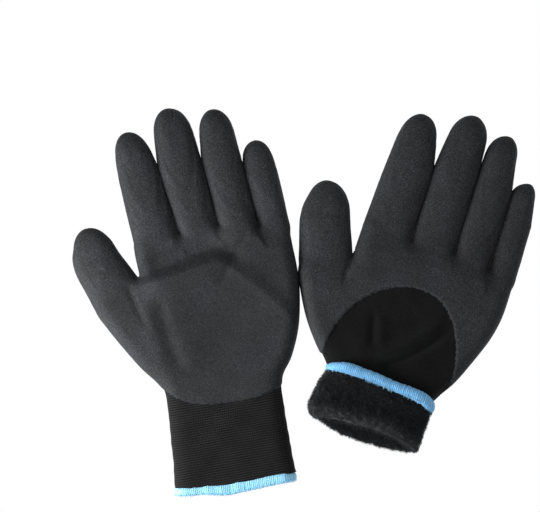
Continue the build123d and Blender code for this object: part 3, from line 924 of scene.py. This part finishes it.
def mouth_line(u, layer=1.0):
    """v where the cuff's mouth starts: the fold in the lower layer, higher in the upper one."""
    arch = np.clip(1 - (u / MOUTH_HALF_WIDTH) ** 2, 0, 1) ** 0.8
    return fold_line(u) + MOUTH_RISE * arch * layer


def fold_highlight(co):
    """1 on the front of the fold, where the pile is painted lighter as a highlight, down to 0 away from
    it.
    """
    above = co[:, 1] - mouth_line(co[:, 0])
    return span(above, -4.0, 0.0, 3.0, 12.0)


def flap_field(glove, p):
    """About the distance to the turned-back cuff: a bulging tube, less the cavity in it."""
    u, v, z = p[..., 0], p[..., 1], p[..., 2]
    lift = z - glove.wrist_height
    bulge = 1.0 + 0.035 * np.sin(np.clip((4.0 - v) / 36.0, 0, 1) * math.pi)
    off = u - np.interp(v, FLAP_STATIONS, FLAP_MIDDLE)
    half_width = np.interp(v, FLAP_STATIONS, FLAP_HALF_WIDTH)
    outer = tube_distance(off, lift, half_width, FLAP_HALF_THICK * bulge, 2.7)
    flare = 1.0 + 0.35 * smoothstep(-22.0, -40.0, v)
    cavity = tube_distance(off, lift, FLAP_CAVITY[0] * flare**0.4, FLAP_CAVITY[1] * flare, 2.2)
    layer = np.clip((lift / FLAP_CAVITY[1] + 1) / 2, 0, 1)  # 0 in the lower layer, 1 in the upper
    bottom, top = mouth_line(u, layer) - v, v - (hem_line(u) + 1.5)
    f = smooth_max(outer, bottom, 7.0 - 4.5 * smoothstep(0.0, 30.0, u))
    f = smooth_max(f, top, 2.5)
    return smooth_max(f, -cavity, 5.0)


def build_flap(glove):
    low, high = (-48.0, -46.0, -1.5), (48.0, 12.0, 32.0)
    co, faces = iso_mesh(lambda p: flap_field(glove, p), low, high, FLAP_STEP)
    normal = vertex_normals(co, faces)
    where = (co[:, 0] + co[:, 2], co[:, 1])
    fluff = 0.45 * Wobble(9.0, 31)(*where) + 0.3 * Wobble(4.0, 32)(*where)
    sag = -1.3 * bump_line(co[:, 1] + 12 + 0.12 * co[:, 0], 7.0) * smoothstep(0.4, 0.9, normal[:, 2])
    co = co + normal * (fluff * smoothstep(9.0, 0.0, co[:, 1]) * 0.8)[:, None]
    co[:, 2] += sag
    # the weave's Y is the share of the painted highlight along the fold
    uv = np.column_stack([co[:, 0], 10.0 * fold_highlight(co)])
    nodes = ["right_cuff_liner", "right_cuff_elastic"]
    make_piece("right_cuff_fleece", glove, co, faces, FLAP_LOOK, "right_cuff", nodes, uv)
    build_pile(glove, co, normal, faces)


def build_pile(glove, co, normal, faces):
    """Short curved fibres standing on the fleece, as thin two-part blades."""
    count = PILE_COUNT
    picks = rng.integers(0, len(faces), count)
    weights = rng.dirichlet((1, 1, 1, 1), count)
    roots = np.einsum("ij,ijk->ik", weights, co[faces[picks]])
    up = np.einsum("ij,ijk->ik", weights, normal[faces[picks]])
    lean = rng.normal(0, 0.55, (count, 3)) + np.array([0.15, -0.5, 0.0])
    way = unit(up + lean)
    length = rng.uniform(0.9, 2.1, count)[:, None]  # of a fibre, bent at a little over its half
    side = unit(np.cross(way, rng.normal(0, 1, (count, 3)))) * PILE_HALF_WIDTH
    middle = roots + way * length * 0.55
    curl = way + rng.normal(0, 0.35, (count, 3)) - 0.25 * up
    tip = middle + curl * length * 0.45
    roots = roots - up * 0.15
    points = np.stack([roots - side, roots + side, middle + side * 0.8, middle - side * 0.8, tip], axis=1)
    first = np.arange(count)[:, None] * 5
    faces = np.concatenate([first + np.array(part) for part in ((0, 1, 2, 3), (3, 2, 4, 4))])
    points[..., 2] = np.maximum(points[..., 2], 0.02)  # the fibres bend at the table
    # the weave's Y is the share of the painted highlight along the fold
    uv = np.repeat(np.column_stack([roots[:, 0], 10.0 * fold_highlight(roots)]), 5, axis=0)
    points = points.reshape(-1, 3)
    make_piece("right_cuff_pile", glove, points, faces, PILE_LOOK, "right_cuff", uv=uv)


# ---- overlocked hems ----
def slot_path(half_width, half_thick, count):
    """Lengths along a flattened slot, its points and its outward ways, evenly round it."""
    straight = 2 * (half_width - half_thick)
    half_round = straight + math.pi * half_thick  # one straight side and one round end
    t = np.linspace(0, 2 * half_round, count, endpoint=False)
    sign = np.where(t < half_round, 1, -1)  # the second half is the first, turned round
    s = t % half_round
    turn = np.maximum(s - straight, 0) / half_thick
    na, nh = sign * np.sin(turn), sign * np.cos(turn)
    a = sign * (np.minimum(s, straight) - straight / 2) + half_thick * na
    return t, 2 * half_round, a, half_thick * nh, na, nh


def build_hem(glove, half, tall, thick, middle_u, middle_v, ragged):
    """Yarn wrapped round the cuff's edge: a rounded band with a ridge for every wrap."""
    side = glove.side
    pitch, per_wrap, section = 1.25, 7, 22
    _, total, *_ = slot_path(*half, 16)
    wraps = int(total / pitch)
    t, total, *path = slot_path(*half, wraps * per_wrap)
    a, h, na, nh = (values[:, None] for values in path)
    phi = np.linspace(0, 2 * math.pi, section, endpoint=False)
    turn = np.random.default_rng(41)
    size = turn.uniform(0.6, 1.4, wraps + 1)
    c, s = np.cos(phi), np.sin(phi)
    wrap = np.arange(len(t))[:, None] / per_wrap + 0.42 * c  # each wrap leans across the band
    number = np.floor(wrap).astype(int) % wraps
    ridge = np.abs(np.sin(math.pi * wrap)) ** 0.7 * size[number]
    lumps = 0.3 * Wobble(6.5, 44)(t, 0 * t)[:, None]
    ridge_height, upper_edge = (0.25, 0.15) if side == "left" else (0.5, 0.8)
    out = c * (thick + ridge_height * ridge + lumps)
    loose = 0.35 * Wobble(18.0, 43)(t, 0 * t)[:, None] + 0.5 * turn.normal(0, 0.35, wraps + 1)[number]
    along = s * (tall(a) / 2 + 0.2 * ridge + np.where(s < 0, 0.6, upper_edge) * loose)
    u = a + na * out
    v = middle_v(u) + along
    co = np.stack([u + middle_u(v), v, glove.wrist_height + h + nh * out], axis=-1).reshape(-1, 3)
    faces = tube_faces(len(t), section, 0, closed=True)
    centre = np.hstack([a + middle_u(0 * a), middle_v(a), glove.wrist_height + h])
    outward = co - np.repeat(centre, section, axis=0)
    if np.median(np.einsum("ij,ij->i", vertex_normals(co, faces), outward)) < 0:
        faces = faces[:, ::-1]
    uv = np.stack([wrap + 0 * out, np.tile(phi, (len(t), 1))], axis=-1).reshape(-1, 2)
    points, more = loose_ends(glove, path, tall, thick, middle_u, middle_v, ragged)
    uv = np.vstack([uv, np.full((len(points), 2), 0.5)])
    faces = np.concatenate([faces, more + len(co)])
    co = np.vstack([co, points])
    look = PALE_THREAD_LOOK if side == "left" else THREAD_LOOK
    cuff = f"{side}_cuff"
    make_piece(f"{side}_hem_yarn", glove, co, faces, look, cuff, [f"{cuff}_hem"], uv)


def loose_ends(glove, path, tall, thick, middle_u, middle_v, ragged):
    """Needle threads that reach past the band into the cloth, of uneven lengths."""
    turn = np.random.default_rng(47)
    count = len(path[0])
    picks = np.sort(turn.choice(count, int(count / 9), replace=False))
    a, h, na, nh = (values[picks] for values in path)
    reach = turn.uniform(0.4, 2.2, len(picks)) * ragged
    n, flat = len(picks), np.zeros(len(picks))
    up = np.stack([na, flat, nh], axis=1)
    run = np.stack([nh, flat, -na], axis=1)
    u = a + na * (thick + 0.1)
    edge = middle_v(u) + math.copysign(1.0, ragged) * (tall(a) / 2 - 1.2)
    height = glove.wrist_height + h + nh * (thick + 0.1)
    root = np.stack([u + middle_u(edge), edge, height], axis=1)
    tip = root + np.array([0, 1.0, 0]) * (reach + math.copysign(1.2, ragged))[:, None] - up * 0.5
    tip += run * turn.normal(0, 0.35, n)[:, None]
    wide = turn.uniform(0.22, 0.42, n)[:, None]
    corners = [root - run * wide, root + up * wide, root + run * wide, root - up * 0.4]
    points = np.stack(corners + [tip - run * 0.1, tip + run * 0.1], axis=1).reshape(-1, 3)
    shape = np.array([[0, 1, 4, 4], [1, 5, 4, 4], [1, 2, 5, 5], [2, 3, 5, 5], [3, 4, 5, 5], [3, 0, 4, 4]])
    faces = 6 * np.arange(n)[:, None, None] + shape[None]
    return points, faces.reshape(-1, 4)


def left_hem_line(u):
    """v of the middle of the left hem, which sags towards the little finger's side."""
    sag = -66.3 - 4.0 * smoothstep(-44.0, -2.0, u)
    return sag + 0.9 * bump_line(u - 21.0, 11.0) + 0.3 * np.sin(u / 4.3)


def left_hem_height(u):
    return 5.8 + 2.6 * bump_line(u - 6.0, 22.0)


def right_hem_height(u):
    return 7.2 + 1.2 * smoothstep(10.0, 34.0, u) - 1.4 * smoothstep(-24.0, -36.0, u)


def left_cuff_middle(v):
    """u of the cuff's middle, which leans with the wrist."""
    return -0.6 + (WRIST["left"][1] - v) * math.tan(math.radians(WRIST_LEAN["left"]))


def right_cuff_middle(v):
    return 0.3 + 0 * v  # the same all along


for glove in gloves.values():
    build_hand(glove)
    for finger in glove.fingers.values():
        build_finger(glove, finger)
build_flap(gloves["right"])
# each hem's half width and half thickness are at its yarn's middle
build_hem(gloves["left"], (38.9, 6.6), left_hem_height, 2.3, left_cuff_middle, left_hem_line, -0.3)
build_hem(gloves["right"], (35.7, 12.2), right_hem_height, 2.7, right_cuff_middle, hem_line, -0.5)
elastic = frame["nodes"]["left_cuff_elastic"]
elastic.data.materials.clear()
elastic.data.materials.append(black_knit("covered_elastic", 0.01, 0.8, 0.8))


# ---- floor, light and camera ----
FLOOR_LEVEL = -0.13  # below the reach of the bent fingers


def white_floor():
    bpy.ops.mesh.primitive_plane_add(size=6.0, location=(0, 0, FLOOR_LEVEL))
    floor = bpy.context.object
    floor.name = "floor"
    material = bpy.data.materials.new("white_floor")
    material.use_nodes = True
    tree = material.node_tree
    tree.nodes.clear()
    glow, out = tree.nodes.new("ShaderNodeEmission"), tree.nodes.new("ShaderNodeOutputMaterial")
    glow.inputs["Strength"].default_value = 1.0
    tree.links.new(glow.outputs[0], out.inputs[0])
    floor.data.materials.append(material)


def soft_light(name, at, target, size, power):
    lamp = bpy.data.lights.new(name, "AREA")
    lamp.shape, lamp.size, lamp.energy = "DISK", size, power
    lamp_object = bpy.data.objects.new(name, lamp)
    bpy.context.scene.collection.objects.link(lamp_object)
    lamp_object.location = at
    way = np.array(target) - np.array(at)
    pitch = math.atan2(math.hypot(way[0], way[1]), -way[2])
    lamp_object.rotation_euler = (pitch, 0, math.atan2(way[1], way[0]) - math.pi / 2)


white_floor()
world = bpy.data.worlds.new("studio")
bpy.context.scene.world = world
world.use_nodes = True
background = world.node_tree.nodes["Background"].inputs
background["Color"].default_value = (1, 1, 1, 1)
background["Strength"].default_value = 0.35
soft_light("key", (-0.45, -0.14, 0.2), (-0.08, 0.0, 0.0), size=0.32, power=4.3)
soft_light("top", (0.1, -0.1, 1.1), (0.0, 0.0, 0.0), size=0.9, power=2.2)
bpy.context.scene.view_settings.view_transform = "Standard"

VIEW_CENTRE = (-0.0240, 0.0303)  # the photograph's middle, from the middle of the pair
VIEW_WIDTH, VIEW_LEVEL = 0.3618, 0.012  # across the picture, at this height above the table
CAMERA_HEIGHT = 1.6
camera = bpy.data.cameras.new("camera")
camera.sensor_fit, camera.sensor_width = "HORIZONTAL", 36.0
camera.lens = camera.sensor_width * (CAMERA_HEIGHT - VIEW_LEVEL) / VIEW_WIDTH
camera.clip_end = 10
camera_object = bpy.data.objects.new("camera", camera)
camera_object.location = (*VIEW_CENTRE, CAMERA_HEIGHT)
bpy.context.scene.collection.objects.link(camera_object)
bpy.context.scene.camera = camera_object
